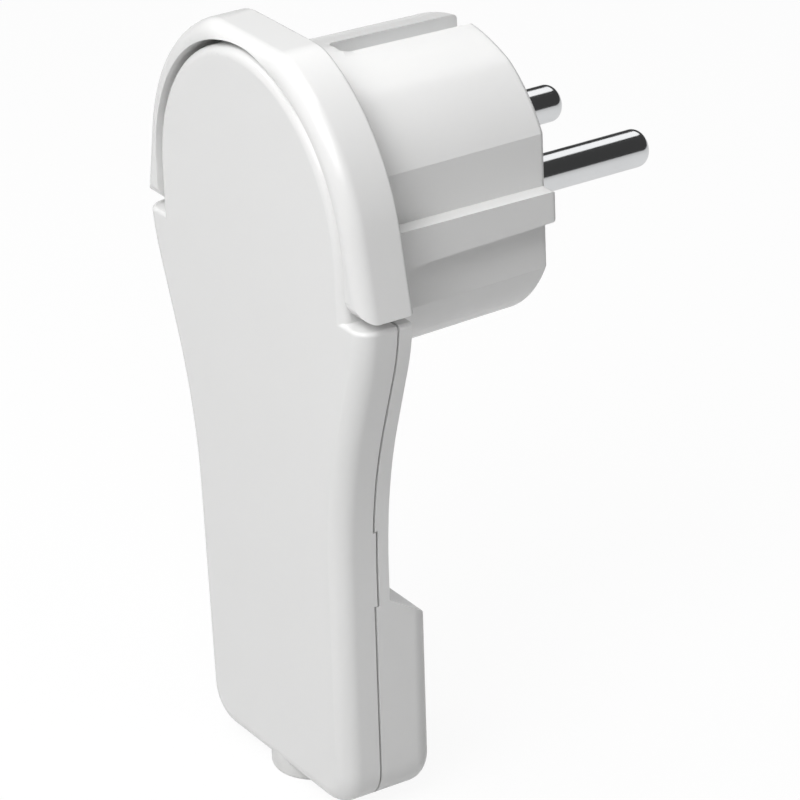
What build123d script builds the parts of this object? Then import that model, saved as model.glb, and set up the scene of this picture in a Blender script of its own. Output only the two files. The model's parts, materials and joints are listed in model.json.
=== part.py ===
from build123d import *
import os
from math import cos, radians, sin, sqrt, tan

# Flat two-pin earthed plug with side earth contacts and a long flat handle.
# The origin is the middle of the pin face. The pins point along +Y, +Z is up, and the cable leaves downwards.
# A depth is a distance behind the pin face, along -Y, towards the front cover.

# Pins
pin_radius = 2.4
pin_reach = 19.0
pin_half_pitch = 9.5
pin_tip_round = 1.5
pin_stem_radius = 2.9
pin_shoulder_radius = 3.7
pin_shoulder = 1.4
spigot_radius = 1.8
spigot_length = 4.5

# Plug body, measured at the pin face
body_radius = 18.8
body_flat = 16.7
panel_edge = 9.8
panel_slope = 24.0
panel_radius = 28.0
rib_half = 1.95
rib_reach = 19.0
body_draft = 1.1
body_edge_round = 0.7
pin_wall = 3.0
cavity_radius = 16.0
cavity_half_width = 14.2
cavity_half_height = 13.4
channel_half = 1.95
channel_floor = 15.1
channel_end = 18.5
channel_round = 1.2

# Flange and the raised collar round the cover's head
flange_depth = 24.8
seam_depth = 26.5
collar_radius = 24.45
collar_side_lean = 11.7
collar_top = 23.0
collar_foot = -5.0
collar_crest = 31.7
collar_bore = 21.95
collar_front_round = 2.2
collar_back_round = 0.5
collar_top_round = 8.0

# Handle outline, seen from the front
shoulder_top = -6.2
shoulder_half = 25.45
shoulder_round = 0.5
shoulder_over = 4.0
shoulder_lean = 6.0
shoulder_sweep = 29.0
flare_angle = 19.6
flare_radius = 64.0
neck_half = 17.3
side_taper = 1.2
handle_bottom = -74.3
bottom_round = 5.2

# Handle section, seen from the side
face_depth = 31.8
cover_wall = 1.5
cover_rim = 1.7
cover_gap = 0.3
head_radius = 21.2
head_foot = -12.0
head_edge_round = 1.3
handle_edge_round = 2.4
neck_back = 24.6
neck_back_start = -14.0
neck_back_end = -36.0
box_back = 18.8
box_ramp_top = -46.0
box_ramp_foot = -49.8
box_edge_round = 2.6
box_wall = 1.5
box_hollow_half = 14.3
box_hollow_top = -50.3
box_hollow_bottom = -71.1
box_hollow_round = 2.0
lip_clearance = 0.15
lip_width = 1.0
lip_depth = 28.0
tab_top = -36.2
tab_bottom = -46.3
tab_depth = 0.45

# Cover screw on the plug's own axis
cover_screw_radius = 1.5
cover_screw_clearance = 1.7
cover_screw_head = 2.9
cover_screw_head_height = 1.8
head_recess_radius = 3.3
head_recess = 2.0
cover_screw_end = 27.6
pillar_radius = 3.3
pillar_depth = 16.6
boss_radius = 3.6
boss_depth = 22.0
insert_radius = 2.3
insert_length = 6.0
washer_radius = 2.7
washer_thickness = 0.8

# Terminals
block_flange = 8.8
block_size = 7.0
block_edge_round = 0.4
block_depth = 15.0
wire_hole_radius = 1.6
wire_hole_depth = 10.6
leaf_thickness = 0.4
leaf_width = 2.4
leaf_depth = 11.4
leaf_fold_depth = 13.2
leaf_end = 2.0
terminal_screw_radius = 1.3
terminal_screw_head = 2.0
terminal_screw_head_height = 1.4
terminal_screw_length = 3.4
slot_width = 0.8
slot_cut = 0.8

# Holder plate that keeps the pins and blocks in the body
holder_depth = 6.7
holder_thickness = 2.4
holder_clearance = 0.3
holder_window = 7.3
holder_centre_hole = 3.5
holder_screw_place = 10.6
holder_screw_radius = 1.2
holder_screw_head = 2.0
holder_screw_head_height = 1.5
holder_screw_length = 5.0
holder_pillar_radius = 2.4

# Earth strip and its terminal
strip_half_width = 1.6
strip_thickness = 0.8
strip_bridge_half = 4.0
strip_bridge_length = 21.0
strip_tip_depth = 1.5
strip_bend = 1.2
earth_place = -8.3
earth_screw_radius = 1.5
earth_nut_size = 5.5
earth_nut_thickness = 2.2
earth_plate_size = 6.4
earth_plate_thickness = 0.8
earth_screw_head = 2.7
earth_screw_head_height = 1.8
earth_screw_length = 5.2

# Cable inlet, grommet and cord clamp in the lower box
inlet_depth = 25.9
grommet_radius = 5.85
grommet_edge_round = 0.5
grommet_bore = 3.4
grommet_neck = 4.3
grommet_out = 1.1
grommet_rise = 2.0
grommet_flange_radius = 5.6
grommet_flange_half = 3.8
grommet_flange = 1.6
clamp_height = -59.0
clamp_length = 20.0
clamp_width = 6.0
clamp_depth = 26.4
clamp_thickness = 1.8
clamp_arch = 4.3
saddle_radius = 3.1
clamp_screw_place = 7.6
clamp_screw_radius = 1.3
clamp_screw_head = 2.4
clamp_screw_head_height = 1.6
clamp_screw_length = 6.0
clamp_pillar_radius = 2.3
grip_rib_spacing = 4.0
grip_rib_width = 1.2
grip_rib_depth = 24.0

# Handle screws, driven from the back of the lower box
handle_screw_place = 11.1
handle_screw_height = -66.5
handle_screw_radius = 1.4
handle_screw_head = 2.5
handle_screw_head_height = 1.7
handle_screw_sink = 1.9
handle_pillar_radius = 3.1
handle_screw_clearance = 1.55
handle_boss_radius = 2.6
handle_boss_depth = 26.6
handle_screw_end = 29.2

hair = 0.02
reach = 60.0


def facing(depth):
    """Plane across the pins at a depth: its x is +X, its y is +Z, and an extrusion goes deeper."""
    return Plane.XZ.offset(depth)


def body_outline(grow):
    """Plug body across the pins: a round with two flats, four faintly curved panels and two guide ribs."""
    radius = body_radius + grow
    panel_x = panel_edge - panel_radius * sin(radians(panel_slope))
    panel_z = sqrt(radius**2 - panel_edge**2) - panel_radius * cos(radians(panel_slope))
    with BuildSketch() as outline:
        Circle(radius)
        for across, upright in ((1, 1), (1, -1), (-1, 1), (-1, -1)):
            with Locations((across * panel_x, upright * panel_z)):
                Circle(panel_radius, mode=Mode.INTERSECT)
        Rectangle(2 * (body_flat + grow), 2 * reach, mode=Mode.INTERSECT)
        Rectangle(2 * (rib_reach + grow), 2 * (rib_half + grow))
    return outline.sketch


def head_outline(radius, foot):
    """Upright U of the cover's head: a round with straight sides down to its foot."""
    with BuildSketch() as outline:
        Circle(radius)
        with Locations((0, foot / 2)):
            Rectangle(2 * radius, -foot)
        with Locations((0, foot + reach / 2)):
            Rectangle(2 * reach, reach, mode=Mode.INTERSECT)
    return outline.sketch


def collar_outline():
    """Outside of the collar: a round with a flat top and straight sides that lean out to their feet."""
    lean = radians(collar_side_lean)
    side_x, side_z = collar_radius * cos(lean), collar_radius * sin(lean)
    foot_x = side_x + (side_z - collar_foot) * tan(lean)
    with BuildSketch() as outline:
        Circle(collar_radius)
        with Locations((0, collar_top / 2)):
            Rectangle(2 * reach, collar_top, mode=Mode.INTERSECT)
        fillet(outline.vertices().group_by(Axis.Y)[-1], collar_top_round)
        with BuildLine():
            Polyline((0, side_z), (side_x, side_z), (foot_x, collar_foot), (0, collar_foot))
            mirror(about=Plane.YZ)
        make_face()
    return outline.sketch


def handle_outline(inset, over=0.0):
    """Front view of the handle from its shoulders down, drawn in by an inset or prolonged over the shoulders."""
    flare_width = flare_radius * (cos(radians(side_taper)) - cos(radians(flare_angle)))
    lean = radians(shoulder_lean)
    with BuildSketch() as outline:
        with BuildLine():
            top = Line((0, shoulder_top + over), (shoulder_half + over * tan(lean), shoulder_top + over))
            start = (shoulder_half, shoulder_top)
            shoulder = JernArc(start, (-sin(lean), -cos(lean)), shoulder_sweep, shoulder_lean - flare_angle)
            if over > 0:
                Line(top @ 1, start)
            slope_width = (shoulder @ 1).X - neck_half - flare_width
            slope = PolarLine(shoulder @ 1, slope_width / sin(radians(flare_angle)), direction=shoulder % 1)
            flare = JernArc(slope @ 1, slope % 1, flare_radius, flare_angle - side_taper)
            neck_height = (flare @ 1).Y
            foot_half = neck_half - (neck_height - handle_bottom) * tan(radians(side_taper))
            Line(flare @ 1, (foot_half, handle_bottom))
            Line((foot_half, handle_bottom), (0, handle_bottom))
            mirror(about=Plane.YZ)
        make_face()
        fillet(outline.vertices().group_by(Axis.Y)[0], bottom_round)
        if inset > 0:
            offset(amount=-inset, kind=Kind.INTERSECTION)
        elif over == 0:
            fillet(outline.vertices().group_by(Axis.Y)[-1], shoulder_round)
    return outline.sketch


def cavity_outline(inset):
    """Hollow of the plug body, drawn in by an inset."""
    with BuildSketch() as outline:
        Circle(cavity_radius - inset)
        Rectangle(2 * (cavity_half_width - inset), 2 * (cavity_half_height - inset), mode=Mode.INTERSECT)
    return outline.sketch


def slotted_screw(shank_radius, head_radius, head_height, under_head, shank_end):
    """Pan-head screw on the depth axis, from the depth under its head to the depth of its end."""
    way = 1 if shank_end > under_head else -1
    with BuildPart() as screw:
        with BuildSketch(facing(under_head)):
            Circle(head_radius)
        extrude(amount=-way * head_height)
        head_side = screw.faces().sort_by(Axis.Y)[-1 if way > 0 else 0]
        fillet(head_side.edges(), head_height / 3)
        with BuildSketch(facing(under_head)):
            Circle(shank_radius)
        extrude(amount=shank_end - under_head)
        tip_side = screw.faces().sort_by(Axis.Y)[0 if way > 0 else -1]
        chamfer(tip_side.edges(), shank_radius / 4)
        with BuildSketch(facing(under_head - way * head_height)):
            Rectangle(2 * head_radius, slot_width)
        extrude(amount=way * slot_cut, mode=Mode.SUBTRACT)
    return screw.part


# Neck and lower box: the handle's outline cut to its side profile
with BuildPart() as neck_and_box:
    with BuildSketch(Plane.YZ):
        with BuildLine():
            Line((-flange_depth, shoulder_top), (-flange_depth, neck_back_start))
            Line((-flange_depth, neck_back_start), (-neck_back, neck_back_end))
            Line((-neck_back, neck_back_end), (-neck_back, box_ramp_top))
            Line((-neck_back, box_ramp_top), (-box_back, box_ramp_foot))
            Line((-box_back, box_ramp_foot), (-box_back, handle_bottom))
            Line((-box_back, handle_bottom), (-seam_depth, handle_bottom))
            Line((-seam_depth, handle_bottom), (-seam_depth, shoulder_top))
            Line((-seam_depth, shoulder_top), (-flange_depth, shoulder_top))
        make_face()
    extrude(amount=reach, both=True)
    with BuildSketch(facing(0)):
        add(handle_outline(0))
    extrude(amount=reach, mode=Mode.INTERSECT)
    fillet(neck_and_box.faces().filter_by(Axis.Y).sort_by(Axis.Y)[-1].edges(), box_edge_round)

# Flange and collar: the crest and the back edge rounded, open in the middle for the cover's head
with BuildPart() as collar:
    with BuildSketch(facing(flange_depth)):
        add(collar_outline())
    extrude(amount=collar_crest - flange_depth)
    fillet(collar.faces().sort_by(Axis.Y)[0].edges(), collar_front_round)
    fillet(collar.faces().sort_by(Axis.Y)[-1].edges(), collar_back_round)
    with BuildSketch(facing(seam_depth)):
        add(head_outline(collar_bore, collar_foot - reach / 2))
    extrude(amount=reach, mode=Mode.SUBTRACT)

# Base housing: plug body, collar, neck and lower box in one moulding
clamp_screw_spots = [(clamp_screw_place, clamp_height), (-clamp_screw_place, clamp_height)]
handle_screw_spots = [(handle_screw_place, handle_screw_height), (-handle_screw_place, handle_screw_height)]
holder_screw_spots = [(0, holder_screw_place), (0, -holder_screw_place)]
with BuildPart() as base_housing:
    with BuildSketch(facing(flange_depth)):
        add(body_outline(flange_depth * tan(radians(body_draft))))
    with BuildSketch(facing(0)):
        add(body_outline(0))
    loft()
    fillet(base_housing.faces().sort_by(Axis.Y)[-1].edges(), body_edge_round)
    add(collar.part)
    # Plate that carries the collar down to the neck
    with BuildSketch(facing(flange_depth)):
        add(head_outline(head_radius, head_foot))
    extrude(amount=seam_depth - flange_depth)
    add(neck_and_box.part)
    # Lip that stands inside the cover's wall
    with BuildSketch(facing(seam_depth)):
        add(head_outline(head_radius - cover_rim - lip_clearance, head_foot))
        add(handle_outline(cover_rim + lip_clearance))
        add(head_outline(head_radius - cover_rim - lip_clearance - lip_width, head_foot), mode=Mode.SUBTRACT)
        add(handle_outline(cover_rim + lip_clearance + lip_width), mode=Mode.SUBTRACT)
    extrude(amount=lip_depth - seam_depth)
    # Wiring hollows of the plug body and of the lower box, open to the cover side
    with BuildSketch(facing(pin_wall)):
        add(cavity_outline(0))
    extrude(amount=seam_depth - pin_wall, mode=Mode.SUBTRACT)
    with BuildSketch(facing(box_back + box_wall)):
        with Locations((0, (box_hollow_top + box_hollow_bottom) / 2)):
            RectangleRounded(2 * box_hollow_half, box_hollow_top - box_hollow_bottom, box_hollow_round)
    extrude(amount=seam_depth - box_back - box_wall, mode=Mode.SUBTRACT)
    # Recesses for the cover's side tabs
    with BuildSketch(facing(seam_depth - tab_depth)):
        add(handle_outline(0))
        add(handle_outline(cover_rim + hair), mode=Mode.SUBTRACT)
        with Locations((0, (tab_top + tab_bottom) / 2)):
            Rectangle(2 * reach, tab_top - tab_bottom + 2 * lip_clearance, mode=Mode.INTERSECT)
    extrude(amount=tab_depth, mode=Mode.SUBTRACT)
    # Pillars round the cover screw, under the holder plate, under the clamp and for the handle screws
    with BuildSketch(facing(pin_wall / 2)):
        Circle(pillar_radius)
    extrude(amount=pillar_depth - pin_wall / 2)
    with BuildSketch(facing(pin_wall / 2)):
        with Locations(*holder_screw_spots):
            Circle(holder_pillar_radius)
    extrude(amount=holder_depth - pin_wall / 2)
    with BuildSketch(facing(box_back + box_wall / 2)):
        with Locations(*clamp_screw_spots):
            Circle(clamp_pillar_radius)
    extrude(amount=clamp_depth - box_back - box_wall / 2)
    with BuildSketch(facing(box_back + box_wall / 2)):
        with Locations(*handle_screw_spots):
            Circle(handle_pillar_radius)
    extrude(amount=seam_depth - box_back - box_wall / 2)
    # Gripping ribs under the cable, cut to its round
    with BuildSketch(facing(box_back + box_wall / 2)):
        with GridLocations(1, grip_rib_spacing, 1, 2):
            with Locations((0, clamp_height)):
                Rectangle(2 * clamp_arch, grip_rib_width)
    extrude(amount=grip_rib_depth - box_back - box_wall / 2)
    with BuildSketch(Plane.XY.offset(clamp_height - grip_rib_spacing)):
        with Locations((0, -inlet_depth)):
            Circle(saddle_radius)
    extrude(amount=2 * grip_rib_spacing, mode=Mode.SUBTRACT)
    # Holes in the pin face and its pillars
    with BuildSketch(facing(0)):
        with Locations((pin_half_pitch, 0), (-pin_half_pitch, 0)):
            Circle(pin_stem_radius + hair)
    extrude(amount=pin_wall, mode=Mode.SUBTRACT)
    with BuildSketch(facing(0)):
        Circle(cover_screw_clearance)
    extrude(amount=pillar_depth, mode=Mode.SUBTRACT)
    with BuildSketch(facing(0)):
        Circle(head_recess_radius - hair)
    extrude(amount=head_recess, mode=Mode.SUBTRACT)
    with BuildSketch(facing(holder_depth)):
        with Locations(*holder_screw_spots):
            Circle(holder_screw_radius + hair)
    extrude(amount=holder_thickness - holder_screw_length - hair, mode=Mode.SUBTRACT)
    # Channels for the earth strip, with a slot for the bridge
    for side in (1, -1):
        with BuildSketch(Plane.XY.offset(side * channel_floor)):
            RectangleRounded(2 * channel_half, 2 * channel_end, channel_round)
        extrude(amount=side * (body_radius - channel_floor + 1), mode=Mode.SUBTRACT)
        with BuildSketch(facing(pillar_depth - strip_bend)):
            with Locations((0, side * (channel_floor + cavity_half_height) / 2)):
                Rectangle(2 * strip_half_width + 4 * hair, channel_floor - cavity_half_height + 1)
        extrude(amount=strip_thickness + strip_bend + lip_clearance, mode=Mode.SUBTRACT)
    # Seats of the clamp screws, the handle screws and the cable inlet
    with BuildSketch(facing(box_back + box_wall)):
        with Locations(*clamp_screw_spots):
            Circle(clamp_screw_radius + hair)
    extrude(amount=clamp_depth - box_back - box_wall, mode=Mode.SUBTRACT)
    with BuildSketch(facing(box_back)):
        with Locations(*handle_screw_spots):
            Circle(handle_screw_clearance)
    extrude(amount=seam_depth - box_back, mode=Mode.SUBTRACT)
    with BuildSketch(facing(box_back)):
        with Locations(*handle_screw_spots):
            Circle(handle_screw_head + lip_clearance)
    extrude(amount=handle_screw_sink, mode=Mode.SUBTRACT)
    with BuildSketch(Plane.XY.offset(handle_bottom)):
        with Locations((0, -inlet_depth)):
            Circle(grommet_neck)
    extrude(amount=box_hollow_bottom - handle_bottom, mode=Mode.SUBTRACT)

# Front cover: the head disc and the handle's shell in one moulding
with BuildPart() as cover_handle:
    with BuildSketch(facing(seam_depth + cover_gap)):
        add(handle_outline(0, shoulder_over))
    extrude(amount=face_depth - seam_depth - cover_gap)
    fillet(cover_handle.faces().filter_by(Axis.Y).sort_by(Axis.Y)[0].edges(), handle_edge_round)
    with BuildSketch(Plane.XY.offset(shoulder_top)):
        Rectangle(2 * reach, 2 * reach)
    extrude(amount=reach, mode=Mode.SUBTRACT)
    shoulder_face = cover_handle.faces().filter_by(Axis.Z).sort_by(Axis.Z)[-1]
    fillet(shoulder_face.edges().sort_by(Axis.Y)[:-1], shoulder_round)

with BuildPart() as front_cover:
    with BuildSketch(facing(seam_depth + cover_gap)):
        add(head_outline(head_radius, head_foot))
    extrude(amount=face_depth - seam_depth - cover_gap)
    crown = front_cover.faces().filter_by(Axis.Y).sort_by(Axis.Y)[0].edges().sort_by(Axis.Z)[1:]
    fillet(crown, head_edge_round)
    add(cover_handle.part)
    with BuildSketch(facing(seam_depth + cover_gap)):
        add(head_outline(head_radius - cover_rim, head_foot))
        add(handle_outline(cover_rim))
    extrude(amount=face_depth - cover_wall - seam_depth - cover_gap, mode=Mode.SUBTRACT)
    # Side tabs that drop into the base
    with BuildSketch(facing(seam_depth + cover_gap - tab_depth)):
        add(handle_outline(0))
        add(handle_outline(cover_rim), mode=Mode.SUBTRACT)
        with Locations((0, (tab_top + tab_bottom) / 2)):
            Rectangle(2 * reach, tab_top - tab_bottom, mode=Mode.INTERSECT)
    extrude(amount=tab_depth)
    # Bosses for the cover screw and the handle screws
    with BuildSketch(facing(boss_depth)):
        Circle(boss_radius)
    extrude(amount=face_depth - cover_wall / 2 - boss_depth)
    with BuildSketch(facing(handle_boss_depth)):
        with Locations(*handle_screw_spots):
            Circle(handle_boss_radius)
    extrude(amount=face_depth - cover_wall / 2 - handle_boss_depth)
    with BuildSketch(facing(boss_depth)):
        Circle(insert_radius)
    extrude(amount=insert_length, mode=Mode.SUBTRACT)
    with BuildSketch(facing(handle_boss_depth)):
        with Locations(*handle_screw_spots):
            Circle(handle_screw_radius + hair)
    extrude(amount=handle_screw_end - handle_boss_depth + lip_clearance, mode=Mode.SUBTRACT)
    with BuildSketch(Plane.XY.offset(handle_bottom)):
        with Locations((0, -inlet_depth)):
            Circle(grommet_neck)
    extrude(amount=cover_rim + 1, mode=Mode.SUBTRACT)

# Pins: solid turned rods with a thicker stem in the wall, a shoulder behind it and a spigot for the block
with BuildPart() as pin:
    with BuildSketch(facing(-pin_reach)):
        Circle(pin_radius)
    extrude(amount=pin_reach)
    fillet(pin.faces().sort_by(Axis.Y)[-1].edges(), pin_tip_round)
    with BuildSketch(facing(0)):
        Circle(pin_stem_radius)
    extrude(amount=pin_wall)
    with BuildSketch(facing(pin_wall)):
        Circle(pin_shoulder_radius)
    extrude(amount=pin_shoulder)
    with BuildSketch(facing(pin_wall + pin_shoulder)):
        Circle(spigot_radius)
    extrude(amount=spigot_length)

with BuildPart() as pin_right:
    with Locations((pin_half_pitch, 0, 0)):
        add(pin.part)

with BuildPart() as pin_left:
    with Locations((-pin_half_pitch, 0, 0)):
        add(pin.part)

# Terminal blocks: a flange under the holder plate, a square neck, a wire hole and a screw hole
block_back = pin_wall + pin_shoulder
with BuildPart() as terminal_block:
    with BuildSketch(facing(block_back)):
        Rectangle(block_size, block_size)
    extrude(amount=block_depth - block_back)
    fillet(terminal_block.faces().sort_by(Axis.Y)[0].edges(), block_edge_round)
    with BuildSketch(facing(block_back)):
        RectangleRounded(block_flange, block_flange, 2 * block_edge_round)
    extrude(amount=holder_depth - block_back - hair)
    with BuildSketch(facing(block_back)):
        Circle(spigot_radius + hair)
    extrude(amount=spigot_length + hair, mode=Mode.SUBTRACT)
    with BuildSketch(Plane.XY.offset(-block_flange)):
        with Locations((0, -wire_hole_depth)):
            Circle(wire_hole_radius)
    extrude(amount=2 * block_flange, mode=Mode.SUBTRACT)
    with BuildSketch(facing(wire_hole_depth)):
        Circle(terminal_screw_radius + hair)
    extrude(amount=block_depth - wire_hole_depth, mode=Mode.SUBTRACT)

with BuildPart() as terminal_block_right:
    with Locations((pin_half_pitch, 0, 0)):
        add(terminal_block.part)

with BuildPart() as terminal_block_left:
    with Locations((-pin_half_pitch, 0, 0)):
        add(terminal_block.part)

terminal_screw = slotted_screw(
    terminal_screw_radius, terminal_screw_head, terminal_screw_head_height,
    block_depth, block_depth - terminal_screw_length,
)
with BuildPart() as terminal_screws:
    with Locations((pin_half_pitch, 0, 0), (-pin_half_pitch, 0, 0)):
        add(terminal_screw)

# Leaf between each terminal screw and its wire, folded down outside the block
leaf_foot = -(block_size + leaf_thickness) / 2
with BuildPart() as wire_leaf:
    with BuildSketch(Plane.YZ):
        with BuildLine():
            Line((-leaf_fold_depth, leaf_foot), (-leaf_depth, leaf_foot))
            Line((-leaf_depth, leaf_foot), (-leaf_depth, leaf_end))
        trace(line_width=leaf_thickness)
    extrude(amount=leaf_width / 2, both=True)

with BuildPart() as wire_leaf_plates:
    with Locations((pin_half_pitch, 0, 0), (-pin_half_pitch, 0, 0)):
        add(wire_leaf.part)

# Holder plate, with a window for each block and a hole for the middle pillar
with BuildPart() as contact_holder:
    with BuildSketch(facing(holder_depth)):
        add(cavity_outline(holder_clearance))
        with Locations((pin_half_pitch, 0), (-pin_half_pitch, 0)):
            Rectangle(holder_window, holder_window, mode=Mode.SUBTRACT)
        Circle(holder_centre_hole, mode=Mode.SUBTRACT)
        with Locations(*holder_screw_spots):
            Circle(holder_screw_radius + hair, mode=Mode.SUBTRACT)
    extrude(amount=holder_thickness)

holder_front = holder_depth + holder_thickness
holder_screw = slotted_screw(
    holder_screw_radius, holder_screw_head, holder_screw_head_height,
    holder_front, holder_front - holder_screw_length,
)
with BuildPart() as holder_screws:
    with Locations((0, 0, holder_screw_place), (0, 0, -holder_screw_place)):
        add(holder_screw)

# Earth strip: a bridge over the middle pillar and a leg along each channel
leg_middle = channel_floor + strip_thickness / 2
bridge_middle = pillar_depth + strip_thickness / 2
with BuildPart() as earth_strip:
    with BuildSketch(Plane.YZ):
        with BuildLine():
            FilletPolyline(
                (-strip_tip_depth, leg_middle), (-bridge_middle, leg_middle),
                (-bridge_middle, -leg_middle), (-strip_tip_depth, -leg_middle),
                radius=strip_bend + strip_thickness / 2,
            )
        trace(line_width=strip_thickness)
    extrude(amount=strip_half_width, both=True)
    with BuildSketch(facing(pillar_depth)):
        RectangleRounded(2 * strip_bridge_half, strip_bridge_length, strip_half_width)
    extrude(amount=strip_thickness)
    with BuildSketch(facing(pillar_depth)):
        Circle(cover_screw_clearance)
        with Locations((0, earth_place)):
            Circle(earth_screw_radius + hair)
    extrude(amount=strip_thickness, mode=Mode.SUBTRACT)

strip_front = pillar_depth + strip_thickness
with BuildPart() as earth_clamp_plate:
    with BuildSketch(facing(strip_front)):
        with Locations((0, earth_place)):
            RectangleRounded(earth_plate_size, earth_plate_size, earth_plate_thickness)
            Circle(earth_screw_radius + hair, mode=Mode.SUBTRACT)
    extrude(amount=earth_plate_thickness)

with BuildPart() as earth_nut:
    with BuildSketch(facing(pillar_depth - earth_nut_thickness)):
        with Locations((0, earth_place)):
            Rectangle(earth_nut_size, earth_nut_size)
            Circle(earth_screw_radius + hair, mode=Mode.SUBTRACT)
    extrude(amount=earth_nut_thickness)

earth_plate_front = strip_front + earth_plate_thickness
earth_screw_at_axis = slotted_screw(
    earth_screw_radius, earth_screw_head, earth_screw_head_height,
    earth_plate_front, earth_plate_front - earth_screw_length,
)
with BuildPart() as earth_screw:
    with Locations((0, 0, earth_place)):
        add(earth_screw_at_axis)

# Cover screw with its retaining washer, and the threaded insert in the cover's boss
with BuildPart() as cover_screw:
    add(slotted_screw(cover_screw_radius, cover_screw_head, cover_screw_head_height, head_recess, cover_screw_end))

with BuildPart() as screw_retaining_washer:
    with BuildSketch(facing(strip_front)):
        Circle(washer_radius)
        Circle(cover_screw_radius + hair, mode=Mode.SUBTRACT)
    extrude(amount=washer_thickness)

with BuildPart() as cover_insert:
    with BuildSketch(facing(boss_depth)):
        Circle(insert_radius)
        Circle(cover_screw_radius + hair, mode=Mode.SUBTRACT)
    extrude(amount=insert_length)

# Cord clamp: an arch over the cable with an ear for each screw
with BuildPart() as cord_clamp_bar:
    with BuildSketch(Plane.XY.offset(clamp_height - clamp_width / 2)):
        with Locations((0, -inlet_depth)):
            Circle(clamp_arch)
        with Locations((0, -clamp_depth - clamp_thickness / 2)):
            Rectangle(clamp_length, clamp_thickness)
        with Locations((0, -clamp_depth - reach / 2)):
            Rectangle(clamp_length, reach, mode=Mode.INTERSECT)
        with Locations((0, -inlet_depth)):
            Circle(saddle_radius, mode=Mode.SUBTRACT)
    extrude(amount=clamp_width)
    with BuildSketch(facing(clamp_depth)):
        with Locations(*clamp_screw_spots):
            Circle(clamp_screw_radius + hair)
    extrude(amount=clamp_thickness, mode=Mode.SUBTRACT)

clamp_front = clamp_depth + clamp_thickness
clamp_screw = slotted_screw(
    clamp_screw_radius, clamp_screw_head, clamp_screw_head_height,
    clamp_front, clamp_front - clamp_screw_length,
)
with BuildPart() as cord_clamp_screws:
    with Locations((clamp_screw_place, 0, clamp_height), (-clamp_screw_place, 0, clamp_height)):
        add(clamp_screw)

# Grommet: a ring under the inlet that rises round the shell's rounded edges, a neck and a flattened flange
with BuildPart() as cable_grommet:
    with BuildSketch(Plane.XY.offset(handle_bottom - grommet_out)):
        with Locations((0, -inlet_depth)):
            Circle(grommet_radius)
    extrude(amount=grommet_out + grommet_rise)
    fillet(cable_grommet.faces().sort_by(Axis.Z)[0].edges(), grommet_edge_round)
    with BuildSketch(Plane.XY.offset(handle_bottom)):
        with Locations((0, -(face_depth - handle_edge_round + box_back + box_edge_round) / 2)):
            Rectangle(reach, face_depth - handle_edge_round - box_back - box_edge_round)
    extrude(amount=grommet_rise, mode=Mode.SUBTRACT)
    add(base_housing.part, mode=Mode.SUBTRACT)
    add(front_cover.part, mode=Mode.SUBTRACT)
    with BuildSketch(Plane.XY.offset(handle_bottom)):
        with Locations((0, -inlet_depth)):
            Circle(grommet_neck - hair)
    extrude(amount=box_hollow_bottom - handle_bottom)
    with BuildSketch(Plane.XY.offset(box_hollow_bottom)):
        with Locations((0, -inlet_depth)):
            Circle(grommet_flange_radius)
            Rectangle(2 * grommet_flange_radius, 2 * grommet_flange_half, mode=Mode.INTERSECT)
    extrude(amount=grommet_flange)
    with BuildSketch(Plane.XY.offset(handle_bottom - grommet_out)):
        with Locations((0, -inlet_depth)):
            Circle(grommet_bore)
    extrude(amount=reach / 2, mode=Mode.SUBTRACT)

# Handle screws
handle_screw = slotted_screw(
    handle_screw_radius, handle_screw_head, handle_screw_head_height,
    box_back + handle_screw_sink, handle_screw_end,
)
with BuildPart() as handle_screws:
    with Locations((handle_screw_place, 0, handle_screw_height), (-handle_screw_place, 0, handle_screw_height)):
        add(handle_screw)

pieces = {
    "base_housing": base_housing,
    "front_cover": front_cover,
    "pin_left": pin_left,
    "pin_right": pin_right,
    "terminal_block_left": terminal_block_left,
    "terminal_block_right": terminal_block_right,
    "terminal_screws": terminal_screws,
    "wire_leaf_plates": wire_leaf_plates,
    "contact_holder": contact_holder,
    "holder_screws": holder_screws,
    "earth_strip": earth_strip,
    "earth_clamp_plate": earth_clamp_plate,
    "earth_screw": earth_screw,
    "earth_nut": earth_nut,
    "cover_screw": cover_screw,
    "screw_retaining_washer": screw_retaining_washer,
    "cover_insert": cover_insert,
    "cord_clamp_bar": cord_clamp_bar,
    "cord_clamp_screws": cord_clamp_screws,
    "cable_grommet": cable_grommet,
    "handle_screws": handle_screws,
}
os.makedirs("parts", exist_ok=True)
for name, piece in pieces.items():
    piece.part.label = name
    export_step(piece.part, f"parts/{name}.step")
    print(name, round(piece.part.volume, 1), piece.part.is_valid, len(piece.part.solids()))
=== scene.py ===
"""Dresses the flat two-pin earthed plug: finishes, softened mouldings, camera, lights and floor."""

import json
import logging
import math
from dataclasses import dataclass, field
from enum import Enum
from typing import Any

import bmesh  # noqa: E402
import bpy  # noqa: E402
from mathutils import Matrix, Vector  # noqa: E402


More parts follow.
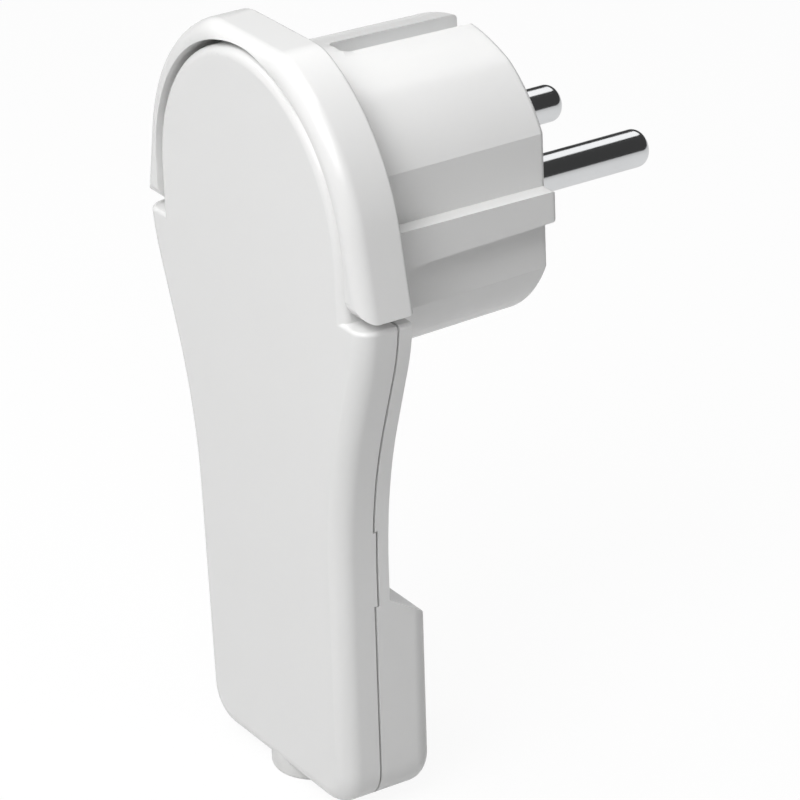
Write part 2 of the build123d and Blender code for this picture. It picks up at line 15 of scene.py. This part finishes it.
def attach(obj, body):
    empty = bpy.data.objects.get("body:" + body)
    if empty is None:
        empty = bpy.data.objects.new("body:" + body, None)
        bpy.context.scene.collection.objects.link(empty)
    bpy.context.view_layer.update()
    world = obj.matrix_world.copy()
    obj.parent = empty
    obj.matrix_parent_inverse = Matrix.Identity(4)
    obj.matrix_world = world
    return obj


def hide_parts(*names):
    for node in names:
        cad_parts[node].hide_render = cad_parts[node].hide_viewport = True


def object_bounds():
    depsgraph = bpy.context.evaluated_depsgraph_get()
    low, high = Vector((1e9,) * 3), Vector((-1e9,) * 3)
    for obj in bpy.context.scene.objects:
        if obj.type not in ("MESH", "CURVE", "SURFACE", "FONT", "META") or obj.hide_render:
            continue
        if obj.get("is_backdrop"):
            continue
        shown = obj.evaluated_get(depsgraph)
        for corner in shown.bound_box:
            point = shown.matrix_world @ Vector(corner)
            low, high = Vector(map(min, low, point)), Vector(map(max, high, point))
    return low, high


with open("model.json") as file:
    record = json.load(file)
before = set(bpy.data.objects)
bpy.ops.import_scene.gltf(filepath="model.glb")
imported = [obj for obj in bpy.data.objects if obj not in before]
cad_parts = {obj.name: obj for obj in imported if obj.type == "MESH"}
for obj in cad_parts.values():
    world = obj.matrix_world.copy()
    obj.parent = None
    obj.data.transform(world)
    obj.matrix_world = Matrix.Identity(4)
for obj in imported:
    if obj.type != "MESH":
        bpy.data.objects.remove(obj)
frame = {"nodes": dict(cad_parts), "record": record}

LOG = logging.getLogger("flat_plug")
MM = 0.001
NOISE_MIDDLE = 0.5
MIX_FACTOR = 0
MIX_FIRST_COLOUR = 6
MIX_SECOND_COLOUR = 7
MIX_COLOUR_RESULT = 2

Colour = tuple[float, float, float]


class Slot(Enum):
    """Material slots of the part's record."""

    WHITE_PLASTIC = "white_plastic"
    NICKEL = "nickel"
    BRASS = "brass"
    SCREW_STEEL = "screw_steel"
    INNER_PLASTIC = "inner_plastic"
    GROMMET_PLASTIC = "grommet_plastic"


class Varying:
    """A number that varies over a surface: a shader socket with arithmetic."""

    def __init__(self, sheet: "ShaderSheet", socket: bpy.types.NodeSocket) -> None:
        """Keeps the socket and the node sheet it belongs to."""
        self.sheet = sheet
        self.socket = socket

    def combined(self, operation: str, first: Any, second: Any) -> "Varying":
        """Adds a Math node.

        Args:
            operation: Blender's name of the operation.
            first: a Varying or a number.
            second: a Varying or a number.

        Returns:
            The node's value.
        """
        return self.sheet.node("ShaderNodeMath", {"operation": operation}, {0: first, 1: second})

    def __add__(self, other: Any) -> "Varying":
        """Sum."""
        return self.combined("ADD", self, other)

    def __radd__(self, other: Any) -> "Varying":
        """Sum with a number first."""
        return self.combined("ADD", other, self)

    def __sub__(self, other: Any) -> "Varying":
        """Difference."""
        return self.combined("SUBTRACT", self, other)

    def __mul__(self, other: Any) -> "Varying":
        """Product."""
        return self.combined("MULTIPLY", self, other)

    def __rmul__(self, other: Any) -> "Varying":
        """Product with a number first."""
        return self.combined("MULTIPLY", other, self)


class ShaderSheet:
    """Node sheet of one material or world."""

    def __init__(self, tree: bpy.types.NodeTree) -> None:
        """Empties the tree and keeps it."""
        tree.nodes.clear()
        self.tree = tree

    def node(
        self, kind: str, settings: dict[str, Any], inputs: dict[Any, Any], output: Any = 0
    ) -> Varying:
        """Adds a node.

        Args:
            kind: Blender's node type.
            settings: attributes of the node, which are set first.
            inputs: values or links, by socket name or number.
            output: name or number of the socket to return.

        Returns:
            The chosen output.
        """
        made = self.tree.nodes.new(kind)
        for name, value in settings.items():
            setattr(made, name, value)
        for name, value in inputs.items():
            if isinstance(value, Varying):
                self.tree.links.new(value.socket, made.inputs[name])
            else:
                made.inputs[name].default_value = value
        return Varying(self, made.outputs[output] if len(made.outputs) else None)

    def place(self) -> Varying:
        """Position on the piece, in metres."""
        return self.node("ShaderNodeTexCoord", {}, {}, "Object")

    def noise(self, scale: float, detail: float, stretch: Colour = (1, 1, 1)) -> Varying:
        """Noise from 0 to 1.

        Args:
            scale: lumps per metre.
            detail: number of finer layers.
            stretch: scale along each axis.

        Returns:
            The noise value.
        """
        spot = self.node("ShaderNodeMapping", {}, {"Vector": self.place(), "Scale": stretch})
        return self.node(
            "ShaderNodeTexNoise", {}, {"Vector": spot, "Scale": scale, "Detail": detail}, "Fac"
        )

    def tint(self, amount: Varying, low: Colour, high: Colour) -> Varying:
        """Colour between two others by a varying amount."""
        return self.node(
            "ShaderNodeMix",
            {"data_type": "RGBA"},
            {MIX_FACTOR: amount, MIX_FIRST_COLOUR: (*low, 1), MIX_SECOND_COLOUR: (*high, 1)},
            MIX_COLOUR_RESULT,
        )

    def relief(self, height: Varying, depth: float) -> Varying:
        """Normal of a surface whose height varies by a depth in metres."""
        return self.node(
            "ShaderNodeBump", {}, {"Height": height, "Strength": 1.0, "Distance": depth}
        )

    def swing(self, middle: float, width: float, noise: Varying) -> Varying:
        """Number that a noise moves up and down around its middle value."""
        return middle + width * (noise - NOISE_MIDDLE)

    def ray(self, kind: str) -> Varying:
        """1 for rays of a kind, such as Is Camera Ray, and 0 for all others."""
        return self.node("ShaderNodeLightPath", {}, {}, kind)


def new_material(name: str) -> tuple[bpy.types.Material, ShaderSheet]:
    """Makes an empty node material and its sheet."""
    material = bpy.data.materials.new(name)
    material.use_nodes = True
    return material, ShaderSheet(material.node_tree)


@dataclass(frozen=True)
class MouldedPlastic:
    """Injection-moulded plastic with a faint mottle and an orange-peel surface."""

    name: str
    colour: Colour
    mottle: Colour
    roughness: float = 0.24
    roughness_swing: float = 0.03
    mottle_scale: float = 90.0
    mottle_detail: float = 4.0
    rub_scale: float = 350.0
    rub_detail: float = 5.0
    peel_scale: float = 1400.0
    peel_detail: float = 2.0
    peel_depth: float = 0.0006 * MM
    specular: float = 0.5

    def material(self) -> bpy.types.Material:
        """Builds the material."""
        material, sheet = new_material(self.name)
        mottle = sheet.noise(self.mottle_scale, self.mottle_detail)
        rub = sheet.noise(self.rub_scale, self.rub_detail)
        peel = sheet.noise(self.peel_scale, self.peel_detail)
        shader = sheet.node(
            "ShaderNodeBsdfPrincipled",
            {},
            {
                "Base Color": sheet.tint(mottle, self.mottle, self.colour),
                "Roughness": sheet.swing(self.roughness, self.roughness_swing, rub),
                "Specular IOR Level": self.specular,
                "Normal": sheet.relief(peel, self.peel_depth),
            },
        )
        sheet.node("ShaderNodeOutputMaterial", {}, {"Surface": shader})
        return material


@dataclass(frozen=True)
class PlatedMetal:
    """Polished or brushed metal with fine turning marks across its length."""

    name: str
    colour: Colour
    stain: Colour
    roughness: float = 0.14
    roughness_swing: float = 0.08
    stain_scale: float = 260.0
    stain_detail: float = 4.0
    mark_scale: float = 300.0
    mark_detail: float = 3.0
    mark_stretch: Colour = (1.0, 30.0, 1.0)
    mark_depth: float = 0.002 * MM

    def material(self) -> bpy.types.Material:
        """Builds the material."""
        material, sheet = new_material(self.name)
        stain = sheet.noise(self.stain_scale, self.stain_detail)
        marks = sheet.noise(self.mark_scale, self.mark_detail, self.mark_stretch)
        shader = sheet.node(
            "ShaderNodeBsdfPrincipled",
            {},
            {
                "Base Color": sheet.tint(stain, self.stain, self.colour),
                "Metallic": 1.0,
                "Roughness": sheet.swing(self.roughness, self.roughness_swing, marks),
                "Normal": sheet.relief(marks, self.mark_depth),
            },
        )
        sheet.node("ShaderNodeOutputMaterial", {}, {"Surface": shader})
        return material


FINISHES: dict[Slot, Any] = {
    Slot.WHITE_PLASTIC: MouldedPlastic(
        "white_gloss_plastic", (0.87, 0.87, 0.865), (0.862, 0.862, 0.857)
    ),
    Slot.NICKEL: PlatedMetal("polished_nickel_plate", (0.8, 0.81, 0.82), (0.72, 0.73, 0.74)),
    Slot.BRASS: PlatedMetal("machined_brass", (0.75, 0.56, 0.28), (0.62, 0.44, 0.2), roughness=0.3),
    Slot.SCREW_STEEL: PlatedMetal(
        "zinc_plated_steel", (0.62, 0.63, 0.65), (0.5, 0.5, 0.51), roughness=0.32
    ),
    Slot.INNER_PLASTIC: MouldedPlastic(
        "grey_inner_plastic", (0.62, 0.62, 0.6), (0.56, 0.56, 0.54), roughness=0.5
    ),
    Slot.GROMMET_PLASTIC: MouldedPlastic(
        "satin_grommet_plastic", (0.8, 0.8, 0.79), (0.76, 0.76, 0.75), roughness=0.4
    ),
}


@dataclass
class Moulding:
    """A CAD solid carried over with its hard edges broken, so that they catch the light."""

    node: str
    slot: Slot
    edge_break: float = 0.12 * MM
    edge_segments: int = 2
    edge_profile: float = 0.5
    sharp_angle: float = math.radians(28)
    flat_angle: float = math.radians(0.2)
    merge_distance: float = 0.0005 * MM
    shading_weight: int = 90

    def mesh(self) -> bpy.types.Mesh:
        """Copies the node's mesh, merges it and bevels its hard edges.

        Returns:
            A smooth-shaded mesh in the part's frame.
        """
        shape = bmesh.new()
        shape.from_mesh(frame["nodes"][self.node].data)
        bmesh.ops.remove_doubles(shape, verts=shape.verts, dist=self.merge_distance)
        bmesh.ops.dissolve_limit(
            shape, angle_limit=self.flat_angle, verts=shape.verts, edges=shape.edges
        )
        hard = [
            edge
            for edge in shape.edges
            if len(edge.link_faces) == 2 and edge.calc_face_angle(0) > self.sharp_angle
        ]
        bmesh.ops.bevel(
            shape,
            geom=hard,
            offset=self.edge_break,
            offset_type="OFFSET",
            affect="EDGES",
            segments=self.edge_segments,
            profile=self.edge_profile,
            material=-1,
            clamp_overlap=True,
        )
        for face in shape.faces:
            face.smooth = True
        made = bpy.data.meshes.new(self.node + "_moulded")
        shape.to_mesh(made)
        shape.free()
        return made

    def build(self, materials: dict[Slot, bpy.types.Material]) -> None:
        """Makes the piece, hangs it on the root body and hides its CAD node.

        Args:
            materials: a material for each slot.
        """
        piece = bpy.data.objects.new(self.node + "_moulded", self.mesh())
        bpy.context.scene.collection.objects.link(piece)
        piece.data.materials.clear()
        piece.data.materials.append(materials[self.slot])
        weighted = piece.modifiers.new("even_shading", "WEIGHTED_NORMAL")
        weighted.keep_sharp = True
        weighted.weight = self.shading_weight
        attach(piece, "root")
        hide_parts(self.node)
        LOG.info("%s: %d faces", piece.name, len(piece.data.polygons))


@dataclass
class PlugPieces:
    """All the plug's solids and the finish that each one has."""

    finishes: dict[str, Slot] = field(
        default_factory=lambda: {
            row["node"]: Slot(row["material_slot"]) for row in frame["record"]["subparts"]
        }
    )

    def build(self, materials: dict[Slot, bpy.types.Material]) -> None:
        """Makes a softened copy of every solid.

        Args:
            materials: a material for each slot.
        """
        for node, slot in self.finishes.items():
            Moulding(node, slot).build(materials)


@dataclass
class StudioCamera:
    """Camera at the photograph's viewing angle."""

    azimuth: float = math.radians(58.83)
    elevation: float = math.radians(25.043)
    roll: float = math.radians(-2.481)
    location: Vector = field(default_factory=lambda: Vector((439.16, -277.2, 210.43)) * MM)
    focal_pixels: float = 4577.212
    image_pixels: float = 800.0
    sensor: float = 36.0
    nearest: float = 0.01
    farthest: float = 20.0

    def build(self) -> None:
        """Makes the camera and gives it to the scene."""
        turn, lift = self.azimuth, self.elevation
        back = Vector((
            math.sin(turn) * math.cos(lift), -math.cos(turn) * math.cos(lift), math.sin(lift)
        ))
        right = Vector((math.cos(turn), math.sin(turn), 0))
        up = back.cross(right)
        tilt = Matrix.Rotation(self.roll, 3, back)
        right, up = tilt @ right, tilt @ up
        data = bpy.data.cameras.new("studio_camera")
        data.sensor_width = self.sensor
        data.lens = self.focal_pixels / self.image_pixels * self.sensor
        data.clip_start = self.nearest
        data.clip_end = self.farthest
        camera = bpy.data.objects.new("studio_camera", data)
        camera.matrix_world = Matrix((right, up, back)).transposed().to_4x4()
        camera.location = self.location
        bpy.context.scene.collection.objects.link(camera)
        bpy.context.scene.camera = camera


@dataclass(frozen=True)
class SoftBox:
    """Square studio lamp aimed at the plug, placed by its direction and distance."""

    name: str
    direction: Colour
    distance: float
    size: float
    power: float
    aim: Colour = (0.0, -0.02, 0.0)

    def build(self) -> None:
        """Makes the lamp."""
        data = bpy.data.lights.new(self.name, "AREA")
        data.shape = "SQUARE"
        data.size = self.size
        data.energy = self.power
        lamp = bpy.data.objects.new(self.name, data)
        outwards = Vector(self.direction).normalized()
        lamp.location = Vector(self.aim) + outwards * self.distance
        lamp.rotation_euler = outwards.to_track_quat("Z", "Y").to_euler()
        bpy.context.scene.collection.objects.link(lamp)


@dataclass
class Studio:
    """Pale floor, dim surroundings and soft boxes.

    Attributes:
        floor_half: half the floor's width, in metres.
        paper: the floor's grey as the plug is lit by it.
        camera_glow: share of plain white in the floor that the camera sees.
        gloss_glow: share of plain white in the floor that glossy surfaces mirror.
        fill: strength of the surroundings' own light.
        bright_side: strength that glossy surfaces mirror from the cover's side.
        dark_side: strength that glossy surfaces mirror from the pins' side.
        side_blend: y of the direction at which the dark side begins in full.
        lamps: the soft boxes.
    """

    floor_half: float = 2.0
    paper: float = 0.7
    camera_glow: float = 0.93
    gloss_glow: float = 0.55
    fill: float = 0.03
    bright_side: float = 0.45
    dark_side: float = 0.05
    side_blend: float = 0.4
    lamps: tuple[SoftBox, ...] = (
        SoftBox("front_soft_box", (0.25, -0.66, 0.7), distance=0.6, size=0.36, power=1.5),
        SoftBox("right_soft_box", (0.5, -0.5, 0.7), distance=0.6, size=0.36, power=1.4),
        SoftBox("top_soft_box", (0.0, -0.05, 1.0), distance=0.6, size=0.36, power=1.15),
        SoftBox("front_left_soft_box", (-0.5, -0.45, 0.73), distance=0.5, size=0.14, power=0.5),
        SoftBox("back_left_soft_box", (-0.38, 0.5, 0.78), distance=0.5, size=0.32, power=0.36),
    )

    def floor(self, height: float) -> None:
        """Lays the floor under the plug.

        Args:
            height: the floor's z, in metres.
        """
        shape = bmesh.new()
        bmesh.ops.create_grid(shape, x_segments=1, y_segments=1, size=self.floor_half)
        bmesh.ops.translate(shape, vec=(0, 0, height), verts=shape.verts)
        mesh = bpy.data.meshes.new("studio_floor")
        shape.to_mesh(mesh)
        shape.free()
        floor = bpy.data.objects.new("studio_floor", mesh)
        bpy.context.scene.collection.objects.link(floor)
        material, sheet = new_material("studio_floor")
        seen = sheet.ray("Is Camera Ray")
        mirrored = sheet.ray("Is Glossy Ray")
        shade = sheet.tint(seen, (self.paper,) * 3, (1.0, 1.0, 1.0))
        paper = sheet.node("ShaderNodeBsdfDiffuse", {}, {"Color": shade})
        glow = sheet.node("ShaderNodeEmission", {}, {"Color": (1, 1, 1, 1), "Strength": 1.0})
        share = self.camera_glow * seen + self.gloss_glow * mirrored
        mixed = sheet.node("ShaderNodeMixShader", {}, {0: share, 1: paper, 2: glow})
        sheet.node("ShaderNodeOutputMaterial", {}, {"Surface": mixed})
        mesh.materials.append(material)
        floor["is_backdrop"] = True

    def surroundings(self) -> None:
        """Makes the world white to the camera, dim to the plug, and two-sided in reflections."""
        world = bpy.data.worlds.new("studio_world")
        bpy.context.scene.world = world
        world.use_nodes = True
        sheet = ShaderSheet(world.node_tree)
        seen = sheet.ray("Is Camera Ray")
        mirrored = sheet.ray("Is Glossy Ray")
        behind = sheet.node("ShaderNodeSeparateXYZ", {}, {"Vector": sheet.place()}, "Y")
        room = sheet.node(
            "ShaderNodeMapRange",
            {"interpolation_type": "SMOOTHSTEP"},
            {
                "Value": behind,
                "From Min": 0.0,
                "From Max": self.side_blend,
                "To Min": self.bright_side,
                "To Max": self.dark_side,
            },
        )
        strength = self.fill + (room - self.fill) * mirrored
        pale = sheet.node("ShaderNodeBackground", {}, {"Color": (1, 1, 1, 1), "Strength": strength})
        white = sheet.node("ShaderNodeBackground", {}, {"Color": (1, 1, 1, 1), "Strength": 1.0})
        mixed = sheet.node("ShaderNodeMixShader", {}, {0: seen, 1: pale, 2: white})
        sheet.node("ShaderNodeOutputWorld", {}, {"Surface": mixed})

    def build(self, floor_height: float) -> None:
        """Builds the studio round the plug.

        Args:
            floor_height: the floor's z, in metres.
        """
        self.floor(floor_height)
        self.surroundings()
        for lamp in self.lamps:
            lamp.build()


def main() -> None:
    """Builds the plug's looks, the studio and the camera, with the floor at the solids' lowest
    point.
    """
    logging.basicConfig(level=logging.INFO, format="%(name)s: %(message)s")
    solids = [list(corner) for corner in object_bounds()]
    materials = {slot: finish.material() for slot, finish in FINISHES.items()}
    PlugPieces().build(materials)
    Studio().build(solids[0][2])
    StudioCamera().build()
    bpy.context.scene.view_settings.view_transform = "Standard"


if __name__ == "__main__":
    main()
